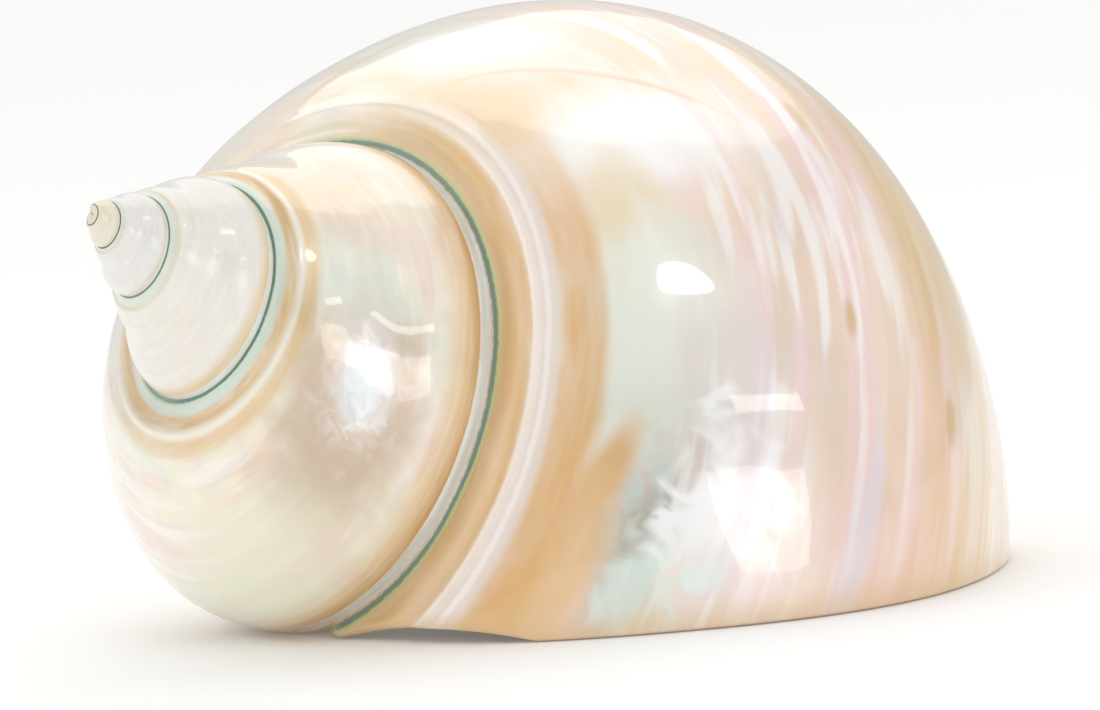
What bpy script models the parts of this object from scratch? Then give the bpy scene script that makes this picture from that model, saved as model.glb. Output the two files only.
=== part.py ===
"""Polished turban shell, one piece, resting on its aperture.

The shell is a tube that winds about an axis. Its cross-section grows by the same
ratio each turn, so every whorl is a larger copy of the one before, and the last
whorl swells a little more. In its own frame the tip is the origin and the axis
runs down -Z. The lip and the whorl beside it meet one plane, Z = 0 in the world.
"""

import math

import bmesh
import bpy
from mathutils import Euler, Vector

# Growth of the tube: a turn is counted from the lip, so earlier whorls are negative
UNIT = 0.0268
GROWTH_PER_TURN = 2.20
FIRST_TURN = -4.6
LAST_TURN = 0.0
STEPS_PER_TURN = 48
RING_POINTS = 48

# Cross-sections at turn 0, in units: distance from the axis, distance below the
# tip, size, and waves of the outline as (order, cosine part, sine part)
SPIRE = {
    "radius": 0.777,
    "height": 2.875,
    "size": 1.190,
    "waves": ((2, -0.077, 0.207), (3, 0.010, 0.033), (4, 0.005, 0.009)),
}
BODY = {
    "radius": 1.083,
    "height": 2.868,
    "size": 1.213,
    "waves": ((2, -0.114, 0.058), (3, 0.043, -0.025), (4, 0.019, -0.004)),
}
PILLAR = {"radius": 0.15, "height": 2.70, "size": 0.50, "waves": ()}
SWELL_START = -1.405
SWELL_TURNS = 0.638
END_ROUNDING = 0.14

# Hollow: it runs back from the aperture behind a wall and a solid pillar
HOLLOW_START = -1.30
HOLLOW_END = 0.05
HOLLOW_STEPS = 22
HOLLOW_POINTS = 28
WALL = 0.0021
CALLUS = 0.0012
PILLAR_SLOPE = 0.17
SEARCH_STEPS = 60

# Rest: turn of the axis out of the vertical and height of the tip over the floor
AXIS_TURN = (61.45, -3.89, -42.15)
TIP_HEIGHT = 1.607 * UNIT
FLOOR_SIZE = 0.4

# Shallow rise of the lip's edge beside the whorl before, measured from the tip
SINUS_CENTRE = (1.00 * UNIT, 0.22 * UNIT, -0.0032)
SINUS_SIZE = (0.0165, 0.0100, 0.0045)
SINUS_TURN = -0.54
SINUS_FACETS = 32

# Facets of the solid
VOXEL = 0.00045
FACETS_KEPT = 0.03

PEARL = (0.86, 0.78, 0.68, 1.0)
PEARL_ROUGHNESS = 0.12


def clear_scene():
    """Remove whatever the scene holds."""
    for item in list(bpy.data.objects):
        bpy.data.objects.remove(item)


def pearl_material():
    """Polished mother-of-pearl."""
    material = bpy.data.materials.new("pearl")
    material.use_nodes = True
    surface = material.node_tree.nodes["Principled BSDF"]
    surface.inputs["Base Color"].default_value = PEARL
    surface.inputs["Roughness"].default_value = PEARL_ROUGHNESS
    surface.inputs["Metallic"].default_value = 0.0
    return material


def outline(shape, angle):
    """Distance from the centre of a cross-section to its outline."""
    reach = 1.0
    for order, cosine_part, sine_part in shape["waves"]:
        reach += cosine_part * math.cos(order * angle)
        reach += sine_part * math.sin(order * angle)
    return shape["size"] * reach


def swell(turn):
    """Share of the last whorl's shape in the cross-section at this turn."""
    share = min(max((turn - SWELL_START) / SWELL_TURNS, 0.0), 1.0)
    return share * share * (3.0 - 2.0 * share)


def section(turn, angle):
    """Centre radius, centre height and outline of the whorl, in units."""
    share = swell(turn)
    values = []
    for key in ("radius", "height"):
        values.append((1.0 - share) * SPIRE[key] + share * BODY[key])
    values.append((1.0 - share) * outline(SPIRE, angle) + share * outline(BODY, angle))
    return values


def grown(turn, radius, height):
    """Point at this turn, in metres, from a radius and a height in units."""
    size = UNIT * GROWTH_PER_TURN**turn
    around = -math.pi / 2.0 - 2.0 * math.pi * turn
    return Vector((size * radius * math.cos(around), size * radius * math.sin(around), -size * height))


def rounded(turns_from_end):
    """Share of the full size this near a tube's rounded end."""
    back = min(max(1.0 - turns_from_end / END_ROUNDING, 0.0), 0.98)
    return math.sqrt(1.0 - back * back)


def whorl_point(turn, angle):
    """Point on the outside of the whorl."""
    radius, height, reach = section(turn, angle)
    return grown(turn, radius + reach * math.cos(angle), height + reach * math.sin(angle))


def pillar_point(turn, angle):
    """Point on the pillar that closes the middle of the base."""
    reach = outline(PILLAR, angle) * rounded(LAST_TURN - turn)
    return grown(turn, PILLAR["radius"] + reach * math.cos(angle), PILLAR["height"] + reach * math.sin(angle))


def depth_in_last_whorl(turn, radius, height):
    """How far a point lies outside the whorl one turn before, in metres."""
    radius *= GROWTH_PER_TURN
    height *= GROWTH_PER_TURN
    centre_radius, centre_height, _ = section(turn - 1.0, 0.0)
    angle = math.atan2(height - centre_height, radius - centre_radius)
    reach = section(turn - 1.0, angle)[2]
    distance = math.hypot(height - centre_height, radius - centre_radius)
    return (distance - reach) * UNIT * GROWTH_PER_TURN ** (turn - 1.0)


def hollow_reach(turn, angle):
    """Distance from the centre of the cross-section to the wall of the hollow."""
    centre_radius, centre_height, reach = section(turn, angle)
    limit = reach - WALL / (UNIT * GROWTH_PER_TURN**turn)
    free = 0.0
    for step in range(1, SEARCH_STEPS + 1):
        trial = limit * step / SEARCH_STEPS
        radius = centre_radius + trial * math.cos(angle)
        height = centre_height + trial * math.sin(angle)
        if radius < PILLAR_SLOPE * height:
            break
        if depth_in_last_whorl(turn, radius, height) < CALLUS:
            break
        free = trial
    return free


def hollow_point(turn, angle):
    """Point on the wall of the hollow, which starts with a rounded end."""
    centre_radius, centre_height, _ = section(turn, angle)
    reach = hollow_reach(turn, angle) * rounded(turn - HOLLOW_START)
    return grown(turn, centre_radius + reach * math.cos(angle), centre_height + reach * math.sin(angle))


def add_tube(mesh, point_at, turns, points):
    """Closed tube through a ring of points at each turn."""
    rings = []
    for turn in turns:
        ring = []
        for number in range(points):
            ring.append(mesh.verts.new(point_at(turn, 2.0 * math.pi * number / points)))
        rings.append(ring)
    for first, second in zip(rings, rings[1:]):
        for number in range(points):
            after = (number + 1) % points
            mesh.faces.new((first[number], first[after], second[after], second[number]))
    for ring in (rings[0], rings[-1]):
        middle = mesh.verts.new(sum((vertex.co for vertex in ring), Vector()) / points)
        for number in range(points):
            mesh.faces.new((ring[number], ring[(number + 1) % points], middle))


def turns_between(first, last, steps):
    """Evenly spaced turns."""
    return [first + (last - first) * number / steps for number in range(steps + 1)]


def make_object(name, mesh):
    """Object from a bmesh, with its faces pointing out."""
    bmesh.ops.recalc_face_normals(mesh, faces=mesh.faces)
    data = bpy.data.meshes.new(name)
    mesh.to_mesh(data)
    mesh.free()
    data.shade_smooth()
    made = bpy.data.objects.new(name, data)
    bpy.context.scene.collection.objects.link(made)
    return made


def make_cutter(name, mesh):
    """Object that only cuts another one."""
    cutter = make_object(name, mesh)
    cutter.hide_render = True
    cutter.display_type = "WIRE"
    return cutter


def whorls():
    """All the whorls and the pillar between them, before they are joined."""
    mesh = bmesh.new()
    steps = round((LAST_TURN - FIRST_TURN) * STEPS_PER_TURN)
    turns = turns_between(FIRST_TURN, LAST_TURN, steps)
    add_tube(mesh, whorl_point, turns, RING_POINTS)
    add_tube(mesh, pillar_point, turns, RING_POINTS)
    return make_object("shell", mesh)


def hollow():
    """Space that the animal lived in."""
    mesh = bmesh.new()
    turns = turns_between(HOLLOW_START, HOLLOW_END, HOLLOW_STEPS)
    add_tube(mesh, hollow_point, turns, HOLLOW_POINTS)
    return make_cutter("hollow", mesh)


def floor_cut():
    """Block whose top is the plane that the lip is cut by."""
    mesh = bmesh.new()
    bmesh.ops.create_cube(mesh, size=FLOOR_SIZE)
    bmesh.ops.translate(mesh, vec=(0.0, 0.0, -FLOOR_SIZE / 2.0), verts=mesh.verts)
    return make_cutter("floor_cut", mesh)


def sinus_cut():
    """Long low ball that lifts the lip's edge a little."""
    mesh = bmesh.new()
    bmesh.ops.create_uvsphere(mesh, u_segments=SINUS_FACETS, v_segments=SINUS_FACETS // 2, radius=1.0)
    bmesh.ops.scale(mesh, vec=SINUS_SIZE, verts=mesh.verts)
    cutter = make_cutter("sinus_cut", mesh)
    cutter.location = SINUS_CENTRE
    cutter.rotation_euler.z = SINUS_TURN
    return cutter


def cut(body, cutter):
    """Take the cutter's shape out of the body."""
    boolean = body.modifiers.new(cutter.name, "BOOLEAN")
    boolean.operation = "DIFFERENCE"
    boolean.solver = "EXACT"
    boolean.object = cutter


def join_whorls(body):
    """One skin round all the whorls, in facets of even size."""
    skin = body.modifiers.new("skin", "REMESH")
    skin.mode = "VOXEL"
    skin.voxel_size = VOXEL
    skin.use_smooth_shade = True
    facets = body.modifiers.new("facets", "DECIMATE")
    facets.ratio = FACETS_KEPT


def centre_over_origin(body, place):
    """Shift everything so that the middle of the shell's box is over the origin."""
    bpy.context.view_layer.update()
    seen = body.evaluated_get(bpy.context.evaluated_depsgraph_get())
    points = [seen.matrix_world @ vertex.co for vertex in seen.data.vertices]
    for axis in (0, 1):
        values = [point[axis] for point in points]
        place.location[axis] -= (min(values) + max(values)) / 2.0


def make_empty(name):
    """Point that other objects are placed from."""
    empty = bpy.data.objects.new(name, None)
    bpy.context.scene.collection.objects.link(empty)
    return empty


def build():
    """Model the shell."""
    clear_scene()
    place = make_empty("place")
    tip = make_empty("tip")
    tip.parent = place
    tip.rotation_euler = Euler([math.radians(degrees) for degrees in AXIS_TURN])
    tip.location = (0.0, 0.0, TIP_HEIGHT)
    shell = whorls()
    space = hollow()
    sinus = sinus_cut()
    shell.parent = tip
    space.parent = tip
    sinus.parent = place
    join_whorls(shell)
    for cutter in (floor_cut(), space, sinus):
        cut(shell, cutter)
    shell.data.materials.append(pearl_material())
    centre_over_origin(shell, place)


build()
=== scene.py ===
"""Finish of the polished turban shell: one grown skin in mother-of-pearl, a pale stage and a camera.

The skin is a sheet rolled up into a tube. Along the sheet the rows run from the
tip down to the lip, round the lip's edge and back up the inside to a blind end.
Across it the columns run round the cross-section of the whorl.
"""

import math

import bmesh
import bpy
from bpy.props import FloatProperty, FloatVectorProperty, PointerProperty
from bpy.types import Operator, Panel, PropertyGroup
from mathutils import Euler, Matrix, Vector, noise


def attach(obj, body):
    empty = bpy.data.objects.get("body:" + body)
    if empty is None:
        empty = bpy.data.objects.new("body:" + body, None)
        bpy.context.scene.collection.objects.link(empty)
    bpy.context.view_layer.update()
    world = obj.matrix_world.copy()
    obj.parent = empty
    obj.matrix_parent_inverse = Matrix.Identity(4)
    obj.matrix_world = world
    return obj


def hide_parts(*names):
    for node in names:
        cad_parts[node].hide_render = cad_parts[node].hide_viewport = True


bl_info = {
    "name": "Turban shell finish",
    "version": (1, 0, 0),
    "blender": (4, 5, 0),
    "location": "3D View > Sidebar > Turban shell",
    "description": "Grows the polished turban shell and lights it on a pale stage",
    "category": "Object",
}

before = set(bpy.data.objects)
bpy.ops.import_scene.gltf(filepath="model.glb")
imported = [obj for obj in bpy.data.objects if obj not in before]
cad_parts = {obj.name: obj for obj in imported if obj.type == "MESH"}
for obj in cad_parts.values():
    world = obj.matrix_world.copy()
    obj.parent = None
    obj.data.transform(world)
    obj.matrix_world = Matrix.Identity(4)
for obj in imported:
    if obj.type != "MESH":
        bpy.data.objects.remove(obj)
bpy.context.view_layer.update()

# Growth of the tube: turns are counted from the lip, so earlier whorls are negative
UNIT = 0.0268
GROWTH_PER_TURN = 2.20
FIRST_TURN = -4.6
SPIRE = {
    "radius": 0.777,
    "height": 2.875,
    "size": 1.190,
    "waves": ((2, -0.077, 0.207), (3, 0.010, 0.033), (4, 0.005, 0.009)),
}
BODY = {
    "radius": 1.083,
    "height": 2.868,
    "size": 1.213,
    "waves": ((2, -0.114, 0.058), (3, 0.043, -0.025), (4, 0.019, -0.004)),
}
SWELL_START = -1.405
SWELL_TURNS = 0.638
TIP_ROUNDING = 0.16

# Rest: turn of the axis and place of the tip, as in the solid
AXIS_TURN = (61.45, -3.89, -42.15)
TIP = (-0.039617, -0.029595, 1.607 * UNIT)
SINUS_CENTRE = (TIP[0] + 1.00 * UNIT, TIP[1] + 0.22 * UNIT, -0.0032)
SINUS_SIZE = (0.0165, 0.0100, 0.0045)
SINUS_TURN = -0.54

# Columns: first and last angle of each arc, in degrees, and the number of steps
ARCS = ((-99.0, -63.0, 30), (-63.0, 12.0, 34), (12.0, 27.0, 10), (27.0, 111.0, 16), (111.0, 261.0, 40))

# Rows: the last of the outside lean over until they meet the lip's plane together
SPIRE_ROWS = 300
LEAN_START = -0.60
BODY_START = -1.60
BODY_ROWS = 190
LEAN_ROWS = 100
LAST_HIDDEN_TURN = 0.0
LIP_ROWS = 10

# End of the pillar: turns that it is drawn back by, and where this fades in and out, in degrees
PILLAR_PULL = 0.115
PULL_IN = (118.0, 156.0)
PULL_OUT = (205.0, 258.0)

# Edge of the lip: its rounding, which is wider at the pillar, and its warm rim in turns
LIP_ROUND = 0.0004
PILLAR_ROUND = 0.0016
PILLAR_MIDDLE = 150.0
PILLAR_SPREAD = 45.0
EDGE_TURNS = 0.012

# Rows either side of the lip's edge that are smoothed, from this angle of the section on
SMOOTHED_FROM = math.radians(105.0)
SMOOTHED_ROWS = 26
SMOOTHINGS = 14

# Hollow behind the lip
HOLLOW_ROWS = 64
HOLLOW_START = -1.28
HOLLOW_ROUNDING = 0.14
CALLUS = 0.0009
CALLUS_FADE = (-0.02, 0.12)
CALLUS_SINK = 0.0002
PILLAR_SLOPE = 0.17
SEARCH_STEPS = 40
HALVINGS = 14
SUTURE_RANGE = (math.radians(-125.0), math.radians(-60.0))
SUTURE_STEPS = 240

# One turn and one degree of the section, as lengths in units, and the next suture's angle
TURN_LENGTH = 13.8
DEGREE_LENGTH = 0.021
NEXT_SUTURE = 21.0

# Dents left by the polish: their number in one unit, the share of finer ones and how much finer
DENTS_PER_UNIT = 2.4
FINE_DENTS = 0.22
FINER = 3.0
DENT_LAYER = 0.7

# Relief beside the sutures: side, centre and half width in degrees, size, its share and last turn
RELIEF = (
    ("below", 10.5, 3.0, "ridge", 1.0, 0.0),
    ("below", 5.8, 4.5, "trough", -1.0, 0.0),
    ("below", 0.0, 1.6, "trough", -0.5, 0.0),
    ("above", 1.5, 3.0, "trough", -0.6, -0.95),
)
FULL_RELIEF_TURN = -0.3


class ShellSizes(PropertyGroup):
    """Sizes of the skin that can be changed without moving its box."""

    wall: FloatProperty(
        name="Wall",
        description="Thickness of the shell behind the lip",
        default=0.0018,
        min=0.0008,
        max=0.0021,
        unit="LENGTH",
    )
    trough: FloatProperty(
        name="Trough",
        description="Depth of the trough that follows the suture",
        default=0.00030,
        min=0.0,
        max=0.001,
        unit="LENGTH",
    )
    dents: FloatProperty(
        name="Dents",
        description="Depth of the shallow dents that the polish leaves",
        default=0.00008,
        min=0.0,
        max=0.0005,
        unit="LENGTH",
    )
    ridge: FloatProperty(
        name="Ridge",
        description="Height of the ridge beside the trough",
        default=0.00022,
        min=0.0,
        max=0.001,
        unit="LENGTH",
    )


def outline(shape, angle):
    """Distance from the centre of a cross-section to its outline."""
    reach = 1.0
    for order, cosine_part, sine_part in shape["waves"]:
        reach += cosine_part * math.cos(order * angle)
        reach += sine_part * math.sin(order * angle)
    return shape["size"] * reach


def smooth_step(value, low, high):
    """0 below low, 1 above high, with an even slope between them."""
    share = min(max((value - low) / (high - low), 0.0), 1.0)
    return share * share * (3.0 - 2.0 * share)


def section(turn, angle):
    """Centre radius, centre height and outline of the whorl, in units."""
    share = smooth_step(turn, SWELL_START, SWELL_START + SWELL_TURNS)
    radius = (1.0 - share) * SPIRE["radius"] + share * BODY["radius"]
    height = (1.0 - share) * SPIRE["height"] + share * BODY["height"]
    reach = (1.0 - share) * outline(SPIRE, angle) + share * outline(BODY, angle)
    return radius, height, reach


def unit_at(turn):
    """Length of one unit at this turn, in metres."""
    return UNIT * GROWTH_PER_TURN**turn


AXIS_ROTATION = Euler([math.radians(value) for value in AXIS_TURN])
SHELL_TO_WORLD = Matrix.Translation(TIP) @ AXIS_ROTATION.to_matrix().to_4x4()


def placed(turn, radius, height):
    """Point in the world at this turn, from a radius and a height in units."""
    size = unit_at(turn)
    around = -math.pi / 2.0 - 2.0 * math.pi * turn
    local = Vector((size * radius * math.cos(around), size * radius * math.sin(around), -size * height))
    return SHELL_TO_WORLD @ local


def depth_in_last_whorl(turn, radius, height):
    """How far a point lies outside the whorl one turn before, in metres."""
    radius *= GROWTH_PER_TURN
    height *= GROWTH_PER_TURN
    centre_radius, centre_height, _ = section(turn - 1.0, 0.0)
    angle = math.atan2(height - centre_height, radius - centre_radius)
    reach = section(turn - 1.0, angle)[2]
    distance = math.hypot(height - centre_height, radius - centre_radius)
    return (distance - reach) * unit_at(turn - 1.0)


def bisected(is_low, low, high):
    """Value between low and high where is_low turns from true to false."""
    for _ in range(HALVINGS):
        middle = (low + high) / 2.0
        if is_low(middle):
            low = middle
        else:
            high = middle
    return (low + high) / 2.0


def suture_angle(turn):
    """Angle at which the whorl leaves the whorl one turn before, in radians."""

    def is_outside(angle):
        radius, height, reach = section(turn, angle)
        radius += reach * math.cos(angle)
        height += reach * math.sin(angle)
        return depth_in_last_whorl(turn, radius, height) < 0.0

    return bisected(is_outside, *SUTURE_RANGE)


def next_suture_angle(turn):
    """Angle at which the whorl one turn later leaves this one, in radians."""
    angle = suture_angle(turn + 1.0)
    radius, height, reach = section(turn + 1.0, angle)
    radius = (radius + reach * math.cos(angle)) * GROWTH_PER_TURN
    height = (height + reach * math.sin(angle)) * GROWTH_PER_TURN
    centre_radius, centre_height, _ = section(turn, 0.0)
    return math.atan2(height - centre_height, radius - centre_radius)


def bump(value, centre, half_width):
    """Smooth hump of height 1."""
    return 1.0 - smooth_step(abs(value - centre), 0.0, half_width)


def relief(turn, below_suture, above_next, sizes):
    """Low relief that follows the spiral, in metres, for degrees from both sutures."""
    scale = min(GROWTH_PER_TURN ** (turn - FULL_RELIEF_TURN), 1.0)
    height = 0.0
    for side, centre, half_width, size, share, last_turn in RELIEF:
        if turn <= last_turn:
            value = below_suture if side == "below" else above_next
            height += share * getattr(sizes, size) * bump(value, centre, half_width)
    degrees = NEXT_SUTURE - above_next
    spot = Vector((turn * TURN_LENGTH, degrees * DEGREE_LENGTH, DENT_LAYER)) * DENTS_PER_UNIT
    height += sizes.dents * (noise.noise(spot) + FINE_DENTS * noise.noise(spot * FINER))
    return height * scale


def outside_point(turn, angle, sizes, sutures):
    """Point on the outside of the whorl."""
    radius, height, reach = section(turn, angle)
    below_suture, above_next = sutures.degrees_from(turn, angle)
    reach += relief(turn, below_suture, above_next, sizes) / unit_at(turn)
    reach *= rounded(turn - FIRST_TURN, TIP_ROUNDING)
    return placed(turn, radius + reach * math.cos(angle), height + reach * math.sin(angle))


def rounded(turns_from_end, turns):
    """Share of the full size this near a tube's rounded end."""
    back = min(max(1.0 - turns_from_end / turns, 0.0), 1.0)
    return math.sqrt(1.0 - back * back)


def hollow_reach(turn, angle, wall, callus):
    """Distance from the centre of the cross-section to the wall of the hollow."""
    centre_radius, centre_height, reach = section(turn, angle)
    limit = reach - wall / unit_at(turn)

    def is_free(trial):
        radius = centre_radius + trial * math.cos(angle)
        height = centre_height + trial * math.sin(angle)
        return radius > PILLAR_SLOPE * height and depth_in_last_whorl(turn, radius, height) > callus

    for step in range(1, SEARCH_STEPS + 1):
        trial = limit * step / SEARCH_STEPS
        if not is_free(trial):
            return bisected(is_free, trial - limit / SEARCH_STEPS, trial)
    return limit


def hollow_point(turn, angle, wall):
    """Point on the wall of the hollow, which starts with a rounded end."""
    centre_radius, centre_height, _ = section(turn, angle)
    callus = CALLUS * smooth_step(LAST_HIDDEN_TURN - turn, *CALLUS_FADE) - CALLUS_SINK
    reach = hollow_reach(turn, angle, wall, callus) * rounded(turn - HOLLOW_START, HOLLOW_ROUNDING)
    return placed(turn, centre_radius + reach * math.cos(angle), centre_height + reach * math.sin(angle))


def lip_height(point):
    """Height of the plane that the lip meets, with its shallow rise beside the whorl before."""
    across = Vector((point.x - SINUS_CENTRE[0], point.y - SINUS_CENTRE[1]))
    along = across.x * math.cos(SINUS_TURN) + across.y * math.sin(SINUS_TURN)
    aside = across.y * math.cos(SINUS_TURN) - across.x * math.sin(SINUS_TURN)
    room = 1.0 - (along / SINUS_SIZE[0]) ** 2 - (aside / SINUS_SIZE[1]) ** 2
    if room <= 0.0:
        return 0.0
    return max(SINUS_CENTRE[2] + SINUS_SIZE[2] * math.sqrt(room), 0.0)


def last_turn_of(point_at, angle, clearance):
    """Turn at which a line along the tube comes down to the lip's plane, or ends above it at the pillar."""
    degrees = math.degrees(angle)
    limit = LAST_HIDDEN_TURN
    limit -= PILLAR_PULL * smooth_step(degrees, *PULL_IN) * (1.0 - smooth_step(degrees, *PULL_OUT))

    def is_above(turn):
        point = point_at(turn, angle)
        return point.z > lip_height(point) + clearance

    if is_above(limit):
        return limit
    return bisected(is_above, LEAN_START, limit)


class Sutures:
    """Angles of both sutures along the turns, worked out once and read between."""

    def __init__(self):
        self.steps = SUTURE_STEPS
        self.own = []
        self.next = []
        for number in range(self.steps + 1):
            turn = FIRST_TURN - FIRST_TURN * number / self.steps
            self.own.append(math.degrees(suture_angle(turn)))
            self.next.append(math.degrees(next_suture_angle(min(turn, -1.0))))

    def degrees_from(self, turn, angle):
        """Degrees below this whorl's suture and above the next whorl's."""
        place = min(max((turn - FIRST_TURN) / -FIRST_TURN, 0.0), 1.0) * self.steps
        number = min(int(place), self.steps - 1)
        share = place - number
        own = (1.0 - share) * self.own[number] + share * self.own[number + 1]
        following = (1.0 - share) * self.next[number] + share * self.next[number + 1]
        return math.degrees(angle) - own, following - math.degrees(angle)


def column_angles():
    """Angles of the columns, in radians."""
    angles = []
    for first, last, steps in ARCS:
        for number in range(steps):
            angles.append(math.radians(first + (last - first) * number / steps))
    angles.append(math.radians(ARCS[-1][1]))
    return angles


def turns_between(first, last, steps):
    """Evenly spaced turns without the last one."""
    return [first + (last - first) * number / steps for number in range(steps)]


def skin_rows(angle, sizes, sutures):
    """Points down one column of the sheet, each with its turn and whether it is inside."""

    def outside(turn, at):
        return outside_point(turn, at, sizes, sutures)

    def inside(turn, at):
        return hollow_point(turn, at, sizes.wall)

    degrees = math.degrees(angle)
    share = bump(degrees, PILLAR_MIDDLE, PILLAR_SPREAD)
    rounding = LIP_ROUND + (PILLAR_ROUND - LIP_ROUND) * share
    rim_turn = last_turn_of(outside, angle, rounding)
    edge_turn = last_turn_of(inside, angle, rounding)

    rows = []
    turns = turns_between(FIRST_TURN, BODY_START, SPIRE_ROWS)
    turns += turns_between(BODY_START, LEAN_START, BODY_ROWS)
    turns += turns_between(LEAN_START, rim_turn, LEAN_ROWS)
    for turn in turns:
        rows.append((outside(turn, angle), turn, 0.0))

    rim = outside(rim_turn, angle)
    edge = inside(edge_turn, angle)
    middle = (rim + edge) / 2.0
    for number in range(LIP_ROWS):
        around = math.pi * number / LIP_ROWS
        point = middle + (rim - middle) * math.cos(around)
        drop = point.z - lip_height(point)
        point.z -= min(rounding, max(drop, 0.0)) * math.sin(around)
        share = number / LIP_ROWS
        rows.append((point, (1.0 - share) * rim_turn + share * edge_turn, share))

    for number in range(HOLLOW_ROWS + 1):
        turn = edge_turn + (HOLLOW_START - edge_turn) * number / HOLLOW_ROWS
        rows.append((inside(turn, angle), turn, 1.0))
    return rows


def grow_skin(sizes):
    """The whole shell as one closed skin."""
    sutures = Sutures()
    angles = column_angles()
    columns = [skin_rows(angle, sizes, sutures) for angle in angles[:-1]]
    columns.append(columns[0])
    row_count = len(columns[0])
    rim_row = SPIRE_ROWS + BODY_ROWS + LEAN_ROWS
    pillar = []

    mesh = bmesh.new()
    bmesh.ops.create_grid(mesh, x_segments=row_count - 1, y_segments=len(angles) - 1, size=1.0)
    whorl_map = mesh.loops.layers.uv.new("whorl")
    edge_map = mesh.loops.layers.uv.new("sutures")
    inside_layer = mesh.verts.layers.float.new("inside")
    edge_layer = mesh.verts.layers.float.new("edge")
    for face in mesh.faces:
        for loop in face.loops:
            row = round((loop.vert.co.x + 1.0) / 2.0 * (row_count - 1))
            column = round((loop.vert.co.y + 1.0) / 2.0 * (len(angles) - 1))
            turn = columns[column][row][1]
            angle = angles[column]
            loop[whorl_map].uv = (turn, math.degrees(angle) / 360.0)
            below, above = sutures.degrees_from(turn, angle)
            loop[edge_map].uv = (below / 100.0, above / 100.0)
    for vertex in mesh.verts:
        row = round((vertex.co.x + 1.0) / 2.0 * (row_count - 1))
        column = round((vertex.co.y + 1.0) / 2.0 * (len(angles) - 1))
        point, turn, inside = columns[column][row]
        vertex.co = (point.x, point.y, max(point.z, 0.0))
        vertex[inside_layer] = inside
        last_turn = columns[column][rim_row][1]
        vertex[edge_layer] = 1.0 - smooth_step(abs(turn - last_turn), 0.0, EDGE_TURNS)
        is_near_rim = abs(row - rim_row) < SMOOTHED_ROWS
        if is_near_rim and SMOOTHED_FROM < angles[column] < angles[-1]:
            pillar.append(vertex)
    axes = {"use_axis_x": True, "use_axis_y": True, "use_axis_z": True}
    for _ in range(SMOOTHINGS):
        bmesh.ops.smooth_vert(mesh, verts=pillar, factor=0.5, **axes)
    bmesh.ops.remove_doubles(mesh, verts=mesh.verts, dist=1e-7)
    bmesh.ops.recalc_face_normals(mesh, faces=mesh.faces)
    for face in mesh.faces:
        face.smooth = True
    data = bpy.data.meshes.new("turban_shell")
    mesh.to_mesh(data)
    mesh.free()
    return data


class TURBAN_OT_grow_shell(Operator):
    """Grow the polished shell over its solid"""

    bl_idname = "turban.grow_shell"
    bl_label = "Grow shell"

    def execute(self, context):
        shell = bpy.data.objects.new("turban_shell", grow_skin(context.scene.turban_sizes))
        context.scene.collection.objects.link(shell)
        shell.data.materials.append(nacre_material(context.scene.turban_colours))
        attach(shell, "root")
        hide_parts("shell")
        return {"FINISHED"}


class ShellColours(PropertyGroup):
    """Colours of the mother-of-pearl that a user would change."""

    honey: FloatVectorProperty(
        name="Honey",
        description="Warm colour of the bands that follow the suture",
        default=(0.74, 0.46, 0.17),
        size=3,
        min=0.0,
        max=1.0,
        subtype="COLOR",
    )
    suture_line: FloatVectorProperty(
        name="Suture line",
        description="Thin green line along the suture",
        default=(0.045, 0.19, 0.135),
        size=3,
        min=0.0,
        max=1.0,
        subtype="COLOR",
    )


def paint(code):
    """Colour with alpha from a six-digit screen colour."""
    parts = []
    for start in (0, 2, 4):
        value = int(code[start : start + 2], 16) / 255.0
        parts.append(value / 12.92 if value <= 0.04045 else ((value + 0.055) / 1.055) ** 2.4)
    return (*parts, 1.0)


class Wiring:
    """Short ways to add and join the nodes of one tree."""

    def __init__(self, tree):
        self.tree = tree

    def add(self, kind, settings=None, inputs=None):
        """Node with its settings and with inputs given by name or number."""
        node = self.tree.nodes.new(kind)
        for key, value in (settings or {}).items():
            setattr(node, key, value)
        for key, value in (inputs or {}).items():
            self.feed(node.inputs[key], value)
        return node

    def feed(self, socket, value):
        """Join a socket, or set its plain value."""
        if isinstance(value, bpy.types.NodeSocket):
            self.tree.links.new(value, socket)
        else:
            socket.default_value = value

    def sum(self, operation, first, second=0.0, third=0.0):
        """Result of one math step."""
        inputs = {0: first, 1: second, 2: third}
        return self.add("ShaderNodeMath", {"operation": operation}, inputs).outputs[0]

    def ramp(self, value, low, high, start=0.0, end=1.0):
        """Smooth change from start to end while the value runs from low to high."""
        inputs = {
            "Value": value,
            "From Min": low,
            "From Max": high,
            "To Min": start,
            "To Max": end,
        }
        return self.add("ShaderNodeMapRange", {"interpolation_type": "SMOOTHSTEP"}, inputs).outputs["Result"]

    def layer(self, under, mask, over, strength=1.0):
        """Colour with another laid over it through a mask."""
        if strength != 1.0:
            mask = self.sum("MULTIPLY", mask, strength)
        node = self.add("ShaderNodeMix", {"data_type": "RGBA"})
        self.feed(node.inputs["Factor"], mask)
        self.feed(node.inputs["A"], under)
        self.feed(node.inputs["B"], over)
        return node.outputs["Result"]

    def noise(self, vector, scale, detail=2.0, distortion=0.0):
        """Soft noise between 0 and 1."""
        inputs = {"Vector": vector, "Scale": scale, "Detail": detail, "Distortion": distortion}
        return self.add("ShaderNodeTexNoise", None, inputs).outputs["Fac"]

    def stretched(self, along, across, along_scale, across_scale, depth=0.0):
        """Vector with its own scale along and across the whorl."""
        first = self.sum("MULTIPLY", along, along_scale)
        second = self.sum("MULTIPLY", across, across_scale)
        return self.add("ShaderNodeCombineXYZ", None, {0: first, 1: second, 2: depth}).outputs[0]

    def group(self, tree, inputs):
        """Placed node group."""
        node = self.add("ShaderNodeGroup", {"node_tree": tree})
        for key, value in inputs.items():
            self.feed(node.inputs[key], value)
        return node.outputs[0]


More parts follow.
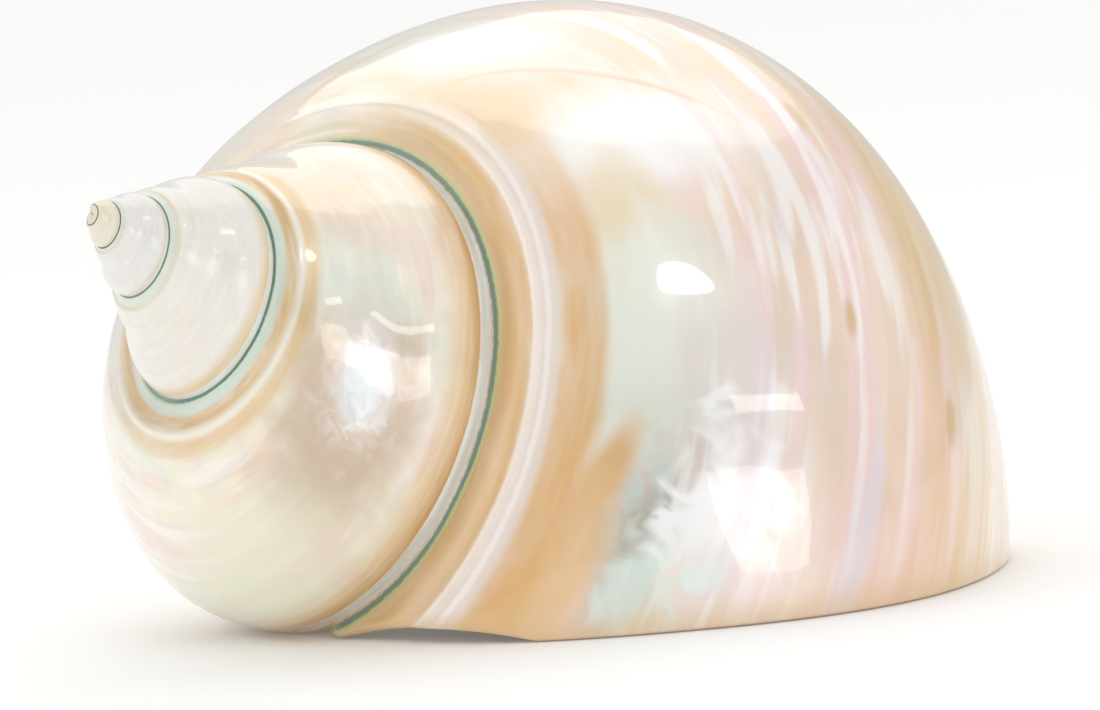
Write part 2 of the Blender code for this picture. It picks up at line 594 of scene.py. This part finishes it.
def new_group(name, inputs, output):
    """Node group with float inputs and one float output."""
    tree = bpy.data.node_groups.new(name, "ShaderNodeTree")
    for key, value in inputs:
        socket = tree.interface.new_socket(key, in_out="INPUT", socket_type="NodeSocketFloat")
        socket.default_value = value
    tree.interface.new_socket(output, in_out="OUTPUT", socket_type="NodeSocketFloat")
    wiring = Wiring(tree)
    return wiring, wiring.add("NodeGroupInput").outputs, wiring.add("NodeGroupOutput").inputs


def band_group():
    """Mask of a band with soft edges round one value."""
    inputs = (("Value", 0.0), ("Centre", 0.0), ("Half Width", 1.0), ("Softness", 0.5))
    wiring, given, result = new_group("soft_band", inputs, "Mask")
    distance = wiring.sum("ABSOLUTE", wiring.sum("SUBTRACT", given["Value"], given["Centre"]))
    low = wiring.sum("SUBTRACT", given["Half Width"], given["Softness"])
    high = wiring.sum("ADD", given["Half Width"], given["Softness"])
    wiring.feed(result["Mask"], wiring.ramp(distance, low, high, 1.0, 0.0))
    return wiring.tree


def patch_group():
    """Mask of a soft oval patch, which may slant across the whorl and have a ragged edge."""
    inputs = (
        ("Turn", 0.0),
        ("Degrees", 0.0),
        ("Centre Turn", 0.0),
        ("Centre Degrees", 0.0),
        ("Half Turns", 0.1),
        ("Half Degrees", 10.0),
        ("Slant", 0.0),
        ("Lean", 0.0),
        ("Ragged", 0.0),
        ("Softness", 0.5),
    )
    wiring, given, result = new_group("soft_patch", inputs, "Mask")
    along = wiring.sum("SUBTRACT", given["Turn"], given["Centre Turn"])
    across = wiring.sum("SUBTRACT", given["Degrees"], given["Centre Degrees"])
    upright = wiring.sum("SUBTRACT", along, wiring.sum("MULTIPLY", across, given["Lean"]))
    across = wiring.sum("SUBTRACT", across, wiring.sum("MULTIPLY", along, given["Slant"]))
    along = wiring.sum("DIVIDE", upright, given["Half Turns"])
    across = wiring.sum("DIVIDE", across, given["Half Degrees"])
    squares = wiring.sum("ADD", wiring.sum("MULTIPLY", along, along), wiring.sum("MULTIPLY", across, across))
    distance = wiring.sum("ADD", wiring.sum("SQRT", squares), given["Ragged"])
    low = wiring.sum("SUBTRACT", 1.0, given["Softness"])
    high = wiring.sum("ADD", 1.0, given["Softness"])
    wiring.feed(result["Mask"], wiring.ramp(distance, low, high, 1.0, 0.0))
    return wiring.tree


class NacrePainter:
    """Lays the colours of the shell over each other, from its ground to its thin lines, painted highlights,
    painted reflections and a painted shadow line among them.
    """

    def __init__(self, tree, colours):
        self.wiring = Wiring(tree)
        self.colours = colours
        self.bands = band_group()
        self.patches = patch_group()
        wiring = self.wiring
        whorl = wiring.add("ShaderNodeUVMap", {"uv_map": "whorl"}).outputs["UV"]
        sutures = wiring.add("ShaderNodeUVMap", {"uv_map": "sutures"}).outputs["UV"]
        whorl = wiring.add("ShaderNodeSeparateXYZ", None, {0: whorl}).outputs
        sutures = wiring.add("ShaderNodeSeparateXYZ", None, {0: sutures}).outputs
        self.turn = whorl[0]
        self.degrees = wiring.sum("MULTIPLY", whorl[1], 360.0)
        self.below = wiring.sum("MULTIPLY", sutures[0], 100.0)
        self.above = wiring.sum("MULTIPLY", sutures[1], 100.0)
        self.edge = wiring.add("ShaderNodeAttribute", {"attribute_name": "edge"}).outputs["Fac"]
        self.inside = wiring.add("ShaderNodeAttribute", {"attribute_name": "inside"}).outputs["Fac"]
        self.even = wiring.stretched(self.turn, self.degrees, TURN_LENGTH, DEGREE_LENGTH)
        self.wander = wiring.sum("SUBTRACT", wiring.noise(self.even, *WANDER_NOISE), 0.5)
        stretch = BAND_STRETCH * TURN_LENGTH
        along = wiring.stretched(self.turn, self.degrees, stretch, DEGREE_LENGTH, BAND_LAYER)
        self.streaks = wiring.ramp(wiring.noise(along, *BAND_NOISE), *STREAK_STRENGTH)
        self.nacre = wiring.ramp(self.turn, *NACRE_RISE)
        self.marble = wiring.sum("SUBTRACT", wiring.noise(self.even, *MARBLE_NOISE), 0.5)
        self.fine_wander = wiring.sum("SUBTRACT", wiring.noise(self.even, *FINE_NOISE), 0.5)

    def band(self, value, centre, half_width, softness):
        """Mask of a band round one value."""
        inputs = {"Value": value, "Centre": centre, "Half Width": half_width, "Softness": softness}
        return self.wiring.group(self.bands, inputs)

    def patch(self, centre, half, slant=0.0, ragged=0.0, softness=0.5, lean=0.0):
        """Mask of an oval patch, with centre and half size in turns and degrees."""
        inputs = {
            "Turn": self.turn,
            "Degrees": self.degrees,
            "Centre Turn": centre[0],
            "Centre Degrees": centre[1],
            "Half Turns": half[0],
            "Half Degrees": half[1],
            "Slant": slant,
            "Lean": lean,
            "Softness": softness,
        }
        if ragged:
            source = self.marble if abs(ragged) > MARBLED else self.wander
            inputs["Ragged"] = self.wiring.sum("MULTIPLY", source, ragged)
        return self.wiring.group(self.patches, inputs)

    def both(self, first, second):
        """Mask where two masks meet."""
        return self.wiring.sum("MULTIPLY", first, second)

    def later_than(self, low, high):
        """Mask that rises along the turns."""
        return self.wiring.ramp(self.turn, low, high)

    def earlier_than(self, low, high):
        """Mask that falls along the turns."""
        return self.wiring.ramp(self.turn, low, high, 1.0, 0.0)

    def ground(self):
        """Pale colour of each whorl, which warms towards the lip."""
        node = self.wiring.add("ShaderNodeValToRGB")
        place = self.wiring.sum("DIVIDE", self.wiring.sum("SUBTRACT", self.turn, FIRST_TURN), -FIRST_TURN)
        self.wiring.feed(node.inputs["Fac"], place)
        stops = node.color_ramp.elements
        for number, (turn, code) in enumerate(GROUND):
            position = (turn - FIRST_TURN) / -FIRST_TURN
            stop = stops[number] if number < 2 else stops.new(position)
            stop.position = position
            stop.color = paint(code)
        return node.outputs["Color"]

    def noise_mask(self, depth, scale, low, kind):
        """Mask from a noise of one kind: its stretch along the whorl, detail and softness."""
        stretch, detail, softness = kind
        vector = self.wiring.stretched(self.turn, self.degrees, stretch * TURN_LENGTH, DEGREE_LENGTH, depth)
        return self.wiring.ramp(self.wiring.noise(vector, scale, detail), low, low + softness)

    def cloud(self, colour):
        """Faint mint, rose and lilac clouds in the nacre, and streaks along the whorl."""
        for code, depth, scale, low, strength in CLOUDS:
            mask = self.both(self.noise_mask(depth, scale, low, CLOUD_NOISE), self.nacre)
            colour = self.wiring.layer(colour, mask, paint(code), strength)
        for code, depth, scale, low, strength in STREAKS:
            mask = self.both(self.noise_mask(depth, scale, low, STREAK_NOISE), self.nacre)
            colour = self.wiring.layer(colour, mask, paint(code), strength)
        return colour

    def spread(self, colour):
        """Soft patches that belong to one place on the shell, painted highlights and painted reflections
        among them, and growth lines across it.
        """
        for code, centre, half, slant, ragged, softness, strength in PATCHES_WITH_PAINTED_LIGHT:
            mask = self.patch(centre, half, slant, ragged, softness)
            colour = self.wiring.layer(colour, mask, paint(code), strength)
        for code, depth, scale, low, centre, half, strength in LOCAL_STREAKS_WITH_HIGHLIGHT:
            region = self.patch(centre, half, softness=REGION_SOFTNESS)
            mask = self.both(self.noise_mask(depth, scale, low, LOCAL_NOISE), region)
            colour = self.wiring.layer(colour, mask, paint(code), strength)
        for code, centre, half, lean, strength in GROWTH_LINES_WITH_HIGHLIGHT:
            mask = self.patch(centre, half, 0.0, LINE_RAGGED, LINE_SOFTNESS, lean)
            colour = self.wiring.layer(colour, mask, paint(code), strength)
        return colour

    def lines(self, colour):
        """Bands and thin lines beside both sutures, among them painted ridge highlights and a painted shadow
        line.
        """
        for code, side, centre, half, softness, first, last, strength in BANDS_WITH_PAINTED_LIGHT:
            value = self.below if side == "below" else self.above
            value = self.wiring.sum("ADD", value, self.wiring.sum("MULTIPLY", self.fine_wander, BAND_WANDER))
            mask = self.band(value, centre, half, softness)
            mask = self.both(mask, self.later_than(first - BAND_FADE_IN, first + BAND_FADE_IN))
            mask = self.both(mask, self.earlier_than(last - BAND_FADE_OUT, last + BAND_FADE_OUT))
            if half > STREAKED:
                mask = self.both(mask, self.streaks)
            if code == "honey":
                over = (*self.colours.honey, 1.0)
            elif code == "line":
                over = (*self.colours.suture_line, 1.0)
            else:
                over = paint(code)
            colour = self.wiring.layer(colour, mask, over, strength)
        return colour


# Noises: scale, detail and distortion
WANDER_NOISE = (2.6, 2.0)
MARBLE_NOISE = (5.0, 2.0, 0.7)
FINE_NOISE = (16.0, 2.0)
BAND_NOISE = (14.0, 2.0)

# Kinds of noise masks: stretch along the whorl, detail and softness
CLOUD_NOISE = (1.0, 2.0, 0.20)
STREAK_NOISE = (0.12, 2.0, 0.16)
LOCAL_NOISE = (0.10, 2.5, 0.12)

# Streaks in the bands: stretch, layer of the noise, and its range with their strength
BAND_STRETCH = 0.08
BAND_LAYER = 5.0
STREAK_STRENGTH = (0.35, 0.68, 1.0, 0.62)

# Turns over which the clouds and streaks come in, and their share before and after
NACRE_RISE = (-1.8, -1.2, 0.35, 1.0)

# Edges of the streaked regions and of the growth lines
REGION_SOFTNESS = 0.6
LINE_RAGGED = 0.3
LINE_SOFTNESS = 0.6

# Patches more ragged than this are marbled, and bands wider than this many degrees are streaked
MARBLED = 1.5
STREAKED = 2.4

# How far bands wander, in degrees, and how many turns they take to fade in and out
BAND_WANDER = 0.5
BAND_FADE_IN = 0.10
BAND_FADE_OUT = 0.06

# Ground of each whorl: turn and screen colour
GROUND = (
    (-4.6, "EFE2BE"),
    (0.0, "E2C9A4"),
    (-4.2, "E9E2CB"),
    (-3.7, "E9E7DF"),
    (-3.0, "E8E8E6"),
    (-2.3, "EDEBE2"),
    (-1.8, "EFEBE2"),
    (-1.4, "F8EBD4"),
    (-1.0, "F7EFD8"),
    (-0.75, "F8F0E0"),
    (-0.5, "F8E6C8"),
    (-0.38, "F8DFB6"),
    (-0.28, "F4DDC0"),
    (-0.1, "EACFA8"),
)

# Clouds and streaks: screen colour, layer of the noise, scale, threshold, strength
CLOUDS = (
    ("DCF0E4", 0.4, 0.7, 0.50, 0.45),
    ("F6DAD0", 3.3, 0.8, 0.50, 0.45),
    ("DDEFE2", 1.3, 2.0, 0.52, 0.35),
    ("F7DDD6", 4.1, 1.9, 0.52, 0.50),
    ("DAD6E2", 7.7, 2.6, 0.56, 0.30),
    ("FFF9EE", 9.2, 3.0, 0.55, 0.45),
)
STREAKS = (
    ("F4CFC6", 2.4, 5.0, 0.50, 0.50),
    ("FFF9F2", 5.6, 7.0, 0.50, 0.65),
    ("DDC08F", 8.3, 5.0, 0.58, 0.40),
    ("E4D9E2", 6.1, 8.0, 0.55, 0.35),
)

# Patches, among them painted highlights and painted reflections of the dark front: screen colour, centre,
# half size, slant, ragged edge, softness, strength
PATCHES_WITH_PAINTED_LIGHT = (
    ("F7DDB4", (-0.40, -78.0), (0.09, 8.0), 0.0, 0.6, 0.6, 0.8),
    ("F8DDC0", (-0.40, -35.0), (0.06, 40.0), 0.0, 0.8, 0.7, 0.8),
    # Painted highlight: the next two patches are the broad white glow near the top of the last whorl
    ("FFFBF4", (-0.45, -62.0), (0.035, 14.0), 0.0, 0.8, 0.6, 0.9),
    ("FFFEFB", (-0.345, -56.0), (0.030, 24.0), 0.0, 0.7, 0.6, 0.95),
    ("F0D2A0", (-0.30, -66.0), (0.035, 8.0), 0.0, 0.6, 0.5, 0.7),
    ("EDF5EA", (-0.225, -59.0), (0.080, 18.0), 60.0, 0.7, 0.40, 0.85),
    # Painted reflection: grey-lavender patch where the dark front of the studio is mirrored
    ("E2D8D1", (-0.240, -46.0), (0.050, 16.0), 60.0, 0.8, 0.5, 0.75),
    ("C9B5A4", (-0.160, -62.0), (0.030, 6.0), 80.0, 0.8, 0.5, 0.6),
    ("B79C8A", (-0.163, -58.0), (0.012, 3.0), 0.0, 0.9, 0.5, 0.8),
    ("C4CFC2", (-0.150, -57.0), (0.010, 5.0), 0.0, 0.9, 0.5, 0.8),
    ("B49A8C", (-0.140, -36.0), (0.008, 4.0), 0.0, 0.9, 0.5, 0.7),
    ("F4ECE6", (-0.175, -38.0), (0.050, 20.0), 40.0, 0.8, 0.5, 0.75),
    ("D8C8BE", (-0.165, -55.0), (0.040, 11.0), 0.0, -2.2, 0.50, 0.70),
    ("C6D6CC", (-0.175, -60.0), (0.030, 7.0), 0.0, 2.8, 0.35, 0.75),
    ("B79C8A", (-0.168, -58.0), (0.020, 6.0), 0.0, -2.0, 0.40, 0.75),
    ("A9BCB1", (-0.174, -57.0), (0.018, 5.0), 0.0, 2.0, 0.50, 0.50),
    # Painted highlight: the next three patches are a ragged white blob low on the last whorl with its mint
    # and rose fringe
    ("FFFFFF", (-0.180, -46.0), (0.046, 12.0), 0.0, 2.8, 0.35, 0.95),
    ("E0F2EA", (-0.150, -50.0), (0.030, 12.0), 0.0, -2.8, 0.35, 0.75),
    ("F3D3CE", (-0.150, -40.0), (0.030, 10.0), 0.0, 3.0, 0.35, 0.55),
    ("EBBB7C", (-0.188, -70.2), (0.024, 3.4), -130.0, 0.5, 0.55, 0.9),
    ("EABF84", (-0.145, -71.5), (0.032, 5.5), -60.0, 0.5, 0.50, 0.8),
    ("ECC9B4", (-0.24, -12.0), (0.12, 26.0), 0.0, 0.8, 0.7, 0.6),
    ("E4C27F", (-0.33, 9.0), (0.06, 16.0), 0.0, 0.9, 0.6, 0.8),
    # Painted reflection: taupe patch where the dark front of the studio is mirrored on the whorl before
    ("CBB498", (-1.140, -38.0), (0.100, 32.0), 0.0, 0.8, 0.5, 0.9),
    ("E6F4E6", (-1.255, -54.0), (0.045, 30.0), 0.0, 0.8, 0.9, 0.6),
    ("F3D9B8", (-1.38, -50.0), (0.08, 30.0), 0.0, 0.6, 0.7, 0.6),
    ("F3F0D8", (-1.0, -25.0), (0.06, 30.0), 0.0, 0.6, 0.7, 0.8),
    # Painted highlight on the whorl before: the next three patches are a pale glow, a white core and a
    # bluish-white streak
    ("EBE0DA", (-1.175, -38.0), (0.055, 18.0), 0.0, -1.8, 0.50, 0.70),
    ("FFFFFF", (-1.170, -36.0), (0.032, 12.0), 60.0, 2.2, 0.50, 0.90),
    ("DCE9EE", (-1.155, -40.0), (0.026, 9.0), 0.0, -2.4, 0.50, 0.50),
)

# Streaks in one region, the last of them painted highlight streaks: colour, layer of the noise, scale,
# threshold, centre, half size, strength
LOCAL_STREAKS_WITH_HIGHLIGHT = (
    ("F9D8DA", 12.0, 6.0, 0.46, (-0.31, -20.0), (0.17, 26.0), 0.65),
    ("FFFFFF", 15.5, 8.0, 0.50, (-0.32, -30.0), (0.15, 26.0), 0.65),
    ("E0DFEA", 18.1, 7.0, 0.52, (-0.23, -26.0), (0.09, 18.0), 0.60),
    ("E3B87C", 21.3, 6.0, 0.47, (-0.27, 16.0), (0.16, 26.0), 0.55),
    ("EBC389", 24.9, 5.0, 0.46, (-0.10, -30.0), (0.06, 50.0), 0.60),
    # Painted highlight: white streaks low on the last whorl
    ("FFFFFF", 27.4, 12.0, 0.50, (-0.185, -44.0), (0.05, 14.0), 0.70),
)

# Lines that growth left across the whorl, and a painted highlight beside the first: colour, centre, half
# size, lean, strength
GROWTH_LINES_WITH_HIGHLIGHT = (
    ("DDB079", (-0.395, -57.0), (0.0030, 17.0), 0.00193, 0.6),
    # Painted highlight along the edge of the first growth line's crease
    ("FFF9F0", (-0.403, -60.0), (0.0040, 14.0), 0.00193, 0.5),
    ("E2C08C", (-0.520, -70.0), (0.0050, 14.0), 0.0015, 0.5),
    ("E9C79A", (-0.780, -30.0), (0.0040, 50.0), 0.0006, 0.4),
    ("E9C79A", (-0.900, 30.0), (0.0030, 40.0), 0.0004, 0.4),
    ("DDBB8A", (-0.095, -20.0), (0.0040, 60.0), 0.0003, 0.4),
    ("D3AC68", (-0.270, -22.0), (0.0060, 1.3), 0.0, 0.7),
    ("D3AC68", (-0.250, 4.0), (0.0070, 1.8), 0.0, 0.7),
    ("D9B478", (-0.352, -17.0), (0.0060, 1.5), 0.0, 0.6),
)

# Bands, among them painted highlights on the ridges and a painted shadow line: colour, suture, centre and
# half width in degrees, softness, first and last turn, strength
BANDS_WITH_PAINTED_LIGHT = (
    ("E6B571", "below", 18.3, 4.1, 1.9, -0.33, 0.2, 0.95),
    ("EFE4DC", "below", 11.6, 2.4, 1.0, -0.40, 0.2, 0.8),
    ("honey", "below", 4.9, 3.4, 1.5, -0.46, 0.2, 0.95),
    ("B78A45", "below", 2.8, 1.5, 1.2, -0.34, 0.2, 0.45),
    # Painted highlights: the next two thin white lines lie along both flanks of the ridge
    ("FFF4EA", "below", 9.0, 0.45, 0.4, -0.40, 0.2, 0.9),
    ("FFF6F0", "below", 11.8, 0.5, 0.4, -0.38, 0.2, 0.9),
    ("E6C48A", "below", 15.5, 3.5, 2.8, -1.45, -0.85, 0.8),
    # Painted highlight: white line along the ridge of the whorl before
    ("F3EFE0", "below", 11.6, 1.2, 1.0, -1.6, -0.75, 0.85),
    ("D6AE6B", "below", 7.4, 2.8, 1.8, -1.55, -0.70, 0.85),
    ("D3E2D4", "below", 2.8, 2.0, 0.7, -1.7, -0.85, 0.9),
    ("E2DCBC", "below", 8.5, 2.6, 2.0, -3.2, -1.6, 0.7),
    ("DCE6DA", "below", 4.0, 3.0, 1.0, -3.6, -1.5, 0.8),
    ("E4C690", "above", 2.0, 10.0, 6.0, -2.7, -1.5, 0.85),
    ("E5BE80", "above", 3.0, 13.0, 8.0, -1.6, -0.95, 0.95),
    ("C59650", "above", 4.0, 5.0, 4.0, -1.5, -0.95, 0.7),
    ("D8CBA0", "above", 3.0, 9.0, 5.0, -4.4, -2.6, 0.7),
    # Painted shadow: thin dark line between the white band and the honey at the lower edge of the whorl
    # before
    ("8A6A40", "above", 4.8, 0.35, 0.3, -1.5, -0.95, 0.7),
    ("F4F6F5", "above", 2.3, 2.5, 0.35, -4.4, -1.5, 0.97),
    ("FFFFFF", "above", 2.6, 3.0, 0.35, -1.6, -0.98, 0.97),
    ("BFCB88", "below", 1.75, 0.45, 0.3, -0.95, 0.2, 0.8),
    ("line", "below", 0.85, 0.6, 0.3, -0.95, 0.2, 0.85),
    ("line", "below", 0.4, 0.8, 0.35, -2.7, -0.92, 0.95),
    ("2A332C", "below", 0.3, 1.6, 0.5, -3.7, -2.65, 0.95),
    ("4A2E22", "below", 0.3, 2.2, 0.5, -4.6, -3.65, 0.95),
)


# Lining and lip rim: screen colour and strength
LINING = "F1E9DC"
LINING_STRENGTH = 0.85
LIP_RIM = "E6C491"
LIP_RIM_STRENGTH = 0.55

# Values that rise along the turns: first and last turn, value before and after
METALLIC = (-1.9, -1.3, 0.06, 0.20)
POLISH = (-1.9, -1.45, 0.4, 1.0)

# Share of the metallic look left beside the sutures, range of roughness, and the fine bump
SUTURE_METALLIC = 0.2
ROUGHNESS = (0.29, 0.36)
RIPPLE_LENGTH = 1.6
BUMP_DEPTH = 0.00005


def nacre_material(colours):
    """Polished mother-of-pearl, with painted highlights, painted reflections and a painted shadow line in
    its colour.
    """
    material = bpy.data.materials.new("polished_nacre")
    material.use_nodes = True
    tree = material.node_tree
    surface = tree.nodes["Principled BSDF"]
    painter = NacrePainter(tree, colours)
    wiring = painter.wiring
    colour = painter.lines(painter.spread(painter.cloud(painter.ground())))
    colour = wiring.layer(colour, painter.inside, paint(LINING), LINING_STRENGTH)
    colour = wiring.layer(colour, painter.edge, paint(LIP_RIM), LIP_RIM_STRENGTH)
    wiring.feed(surface.inputs["Base Color"], colour)
    pearly = wiring.ramp(painter.turn, *METALLIC)
    matt = painter.band(painter.above, 1.5, 4.0, 1.0)
    matt = wiring.sum("MAXIMUM", matt, painter.band(painter.below, 0.0, 3.0, 1.0))
    pearly = wiring.sum("MULTIPLY", pearly, wiring.ramp(matt, 0.0, 1.0, 1.0, SUTURE_METALLIC))
    wiring.feed(surface.inputs["Metallic"], pearly)
    roughness = wiring.noise(painter.even, 5.0, 3.0)
    wiring.feed(surface.inputs["Roughness"], wiring.ramp(roughness, 0.3, 0.7, *ROUGHNESS))
    along = wiring.stretched(painter.turn, painter.degrees, RIPPLE_LENGTH, DEGREE_LENGTH)
    ripples = wiring.noise(along, 14.0, 2.0)
    lumps = wiring.noise(painter.even, 6.0, 2.0)
    height = wiring.sum("ADD", wiring.sum("MULTIPLY", ripples, 0.4), lumps)
    raised = wiring.add("ShaderNodeBump", None, {"Height": height, "Distance": BUMP_DEPTH, "Strength": 0.5})
    wiring.feed(surface.inputs["Normal"], raised.outputs["Normal"])
    surface.inputs["Specular IOR Level"].default_value = 0.5
    wiring.feed(surface.inputs["Coat Weight"], wiring.ramp(painter.turn, *POLISH))
    surface.inputs["Coat Roughness"].default_value = 0.04
    surface.inputs["Coat IOR"].default_value = 1.6
    return material


class StageSettings(PropertyGroup):
    """Light and floor of the studio."""

    brightness: FloatProperty(
        name="Brightness",
        description="Strength of all the lights together",
        default=1.0,
        min=0.0,
        max=4.0,
        subtype="FACTOR",
    )


# Sun behind the shell: where it stands and how wide it is, in degrees, and its brightness
SUN_AZIMUTH = 180.0
SUN_ELEVATION = 62.0
SUN_ANGLE = 64.0
SUN_BRIGHTNESS = 0.20

# Camera, with its turn in degrees and its lens in millimetres
CAMERA_PLACE = (0.0060637, -0.5692856, 0.078125)
CAMERA_TURN = (84.4206, 5.618, 0.0)
CAMERA_LENS = 198.18
SENSOR_WIDTH = 36.0

# Floor: half its width, how far it lies under the lip, and a faint glow that keeps it white
FLOOR_SIZE = 20.0
FLOOR_DROP = 0.00005
FLOOR_GLOW = 0.07

# Softboxes: azimuth and elevation seen from the shell, distance, width, height, brightness
SOFTBOXES = {
    "overhead": (0.0, 82.0, 0.80, 0.60, 0.60, 0.15),
    "left_side": (-80.0, 28.0, 0.90, 0.80, 0.80, 0.45),
    "right_side": (80.0, 28.0, 0.90, 0.80, 0.80, 0.25),
    "upper_window": (17.0, 49.0, 0.90, 0.17, 0.09, 5.0),
    "lower_window": (24.0, 25.0, 0.90, 0.22, 0.05, 3.6),
    "low_front": (17.0, 6.0, 0.90, 0.30, 0.26, 2.2),
}
AIM = (0.0, 0.0, 0.025)
WORLD_BRIGHTNESS = 0.69

# Dark card: width and height, middle, and how far in its edges fade
CARD_SIZE = (1.30, 0.62)
CARD_PLACE = (0.05, -1.25, 0.50)
CARD_FADE = 0.24


def direction(azimuth, elevation):
    """Unit vector towards a place seen from the shell, in degrees."""
    around = math.radians(azimuth)
    up = math.radians(elevation)
    return Vector((math.sin(around) * math.cos(up), -math.cos(around) * math.cos(up), math.sin(up)))


def hang_softbox(name, azimuth, elevation, distance, width, height, brightness):
    """Rectangular light that faces the shell and that the camera does not see."""
    light = bpy.data.lights.new(name, "AREA")
    light.shape = "ELLIPSE" if name == "upper_window" else "RECTANGLE"
    light.size = width
    light.size_y = height
    light.energy = brightness * math.pi * width * height
    lamp = bpy.data.objects.new(name, light)
    towards = direction(azimuth, elevation)
    lamp.location = Vector(AIM) + towards * distance
    lamp.rotation_euler = towards.to_track_quat("Z", "Y").to_euler()
    lamp.visible_camera = False
    bpy.context.scene.collection.objects.link(lamp)


def hang_sun(brightness):
    """Wide soft sun behind the shell, which throws its shadow forwards."""
    light = bpy.data.lights.new("back_sun", "SUN")
    light.angle = math.radians(SUN_ANGLE)
    light.energy = brightness * math.pi / math.sin(math.radians(SUN_ELEVATION))
    lamp = bpy.data.objects.new("back_sun", light)
    towards = direction(SUN_AZIMUTH, SUN_ELEVATION)
    lamp.rotation_euler = towards.to_track_quat("Z", "Y").to_euler()
    bpy.context.scene.collection.objects.link(lamp)


def lay_floor():
    """Pale floor that runs to the horizon."""
    mesh = bmesh.new()
    bmesh.ops.create_grid(mesh, x_segments=1, y_segments=1, size=FLOOR_SIZE)
    bmesh.ops.translate(mesh, vec=(0.0, 0.0, -FLOOR_DROP), verts=mesh.verts)
    data = bpy.data.meshes.new("floor")
    mesh.to_mesh(data)
    mesh.free()
    floor = bpy.data.objects.new("floor", data)
    bpy.context.scene.collection.objects.link(floor)
    material = bpy.data.materials.new("pale_floor")
    material.use_nodes = True
    surface = material.node_tree.nodes["Principled BSDF"]
    surface.inputs["Base Color"].default_value = paint("FDFDFC")
    surface.inputs["Emission Color"].default_value = (1.0, 1.0, 1.0, 1.0)
    surface.inputs["Emission Strength"].default_value = FLOOR_GLOW
    surface.inputs["Roughness"].default_value = 0.8
    surface.inputs["Specular IOR Level"].default_value = 0.1
    data.materials.append(material)


def card_mask(wiring, parts):
    """Mask of the card that fades out towards all its edges."""
    mask = 1.0
    sides = ((parts[0], CARD_PLACE[0], CARD_SIZE[0]), (parts[2], CARD_PLACE[2], CARD_SIZE[1]))
    for socket, centre, size in sides:
        away = wiring.sum("ABSOLUTE", wiring.sum("SUBTRACT", socket, centre))
        mask = wiring.sum("MULTIPLY", wiring.ramp(away, 0.5 * size - CARD_FADE, 0.5 * size, 1.0, 0.0), mask)
    return mask


def hang_card():
    """Dark card behind the camera, which only the polish shows."""
    mesh = bmesh.new()
    bmesh.ops.create_grid(mesh, x_segments=1, y_segments=1, size=0.5)
    bmesh.ops.scale(mesh, vec=(CARD_SIZE[0], CARD_SIZE[1], 1.0), verts=mesh.verts)
    bmesh.ops.rotate(mesh, matrix=Matrix.Rotation(math.radians(90.0), 3, "X"), verts=mesh.verts)
    bmesh.ops.translate(mesh, vec=CARD_PLACE, verts=mesh.verts)
    data = bpy.data.meshes.new("dark_card")
    mesh.to_mesh(data)
    mesh.free()
    card = bpy.data.objects.new("dark_card", data)
    card.visible_camera = False
    bpy.context.scene.collection.objects.link(card)
    material = bpy.data.materials.new("grey_card")
    material.use_nodes = True
    surface = material.node_tree.nodes["Principled BSDF"]
    surface.inputs["Base Color"].default_value = (0.12, 0.11, 0.10, 1.0)
    surface.inputs["Roughness"].default_value = 1.0
    wiring = Wiring(material.node_tree)
    place = wiring.add("ShaderNodeTexCoord").outputs["Object"]
    parts = wiring.add("ShaderNodeSeparateXYZ", None, {0: place}).outputs
    wiring.feed(surface.inputs["Alpha"], card_mask(wiring, parts))
    data.materials.append(material)


def place_camera():
    """Camera at the photograph's viewing angle."""
    lens = bpy.data.cameras.new("camera")
    lens.sensor_width = SENSOR_WIDTH
    lens.lens = CAMERA_LENS
    camera = bpy.data.objects.new("camera", lens)
    camera.location = CAMERA_PLACE
    camera.rotation_euler = Euler([math.radians(value) for value in CAMERA_TURN])
    bpy.context.scene.collection.objects.link(camera)
    bpy.context.scene.camera = camera


class TURBAN_OT_light_stage(Operator):
    """Lay the pale floor, hang the lights and place the camera"""

    bl_idname = "turban.light_stage"
    bl_label = "Light stage"

    def execute(self, context):
        brightness = context.scene.turban_stage.brightness
        lay_floor()
        hang_card()
        for name, values in SOFTBOXES.items():
            hang_softbox(name, *values[:5], values[5] * brightness)
        hang_sun(SUN_BRIGHTNESS * brightness)
        world = bpy.data.worlds.new("studio")
        world.use_nodes = True
        background = world.node_tree.nodes["Background"]
        background.inputs["Color"].default_value = (1.0, 1.0, 1.0, 1.0)
        background.inputs["Strength"].default_value = WORLD_BRIGHTNESS * brightness
        context.scene.world = world
        context.scene.view_settings.view_transform = "Standard"
        place_camera()
        return {"FINISHED"}


class TURBAN_PT_finish(Panel):
    """Sidebar panel of the turban shell"""

    bl_idname = "TURBAN_PT_finish"
    bl_label = "Turban shell"
    bl_space_type = "VIEW_3D"
    bl_region_type = "UI"
    bl_category = "Turban shell"

    def draw(self, context):
        layout = self.layout
        scene = context.scene
        for settings in (scene.turban_sizes, scene.turban_colours, scene.turban_stage):
            box = layout.box()
            for key in settings.__annotations__:
                box.prop(settings, key)
        layout.operator(TURBAN_OT_grow_shell.bl_idname)
        layout.operator(TURBAN_OT_light_stage.bl_idname)


CLASSES = (
    ShellSizes,
    ShellColours,
    StageSettings,
    TURBAN_OT_grow_shell,
    TURBAN_OT_light_stage,
    TURBAN_PT_finish,
)


def register():
    """Add the classes and their settings."""
    for item in CLASSES:
        bpy.utils.register_class(item)
    bpy.types.Scene.turban_sizes = PointerProperty(type=ShellSizes)
    bpy.types.Scene.turban_colours = PointerProperty(type=ShellColours)
    bpy.types.Scene.turban_stage = PointerProperty(type=StageSettings)


def unregister():
    """Remove the settings and the classes."""
    del bpy.types.Scene.turban_stage
    del bpy.types.Scene.turban_colours
    del bpy.types.Scene.turban_sizes
    for item in reversed(CLASSES):
        bpy.utils.unregister_class(item)


def main():
    """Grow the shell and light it."""
    register()
    bpy.ops.turban.grow_shell()
    bpy.ops.turban.light_stage()


if __name__ == "__main__":
    main()
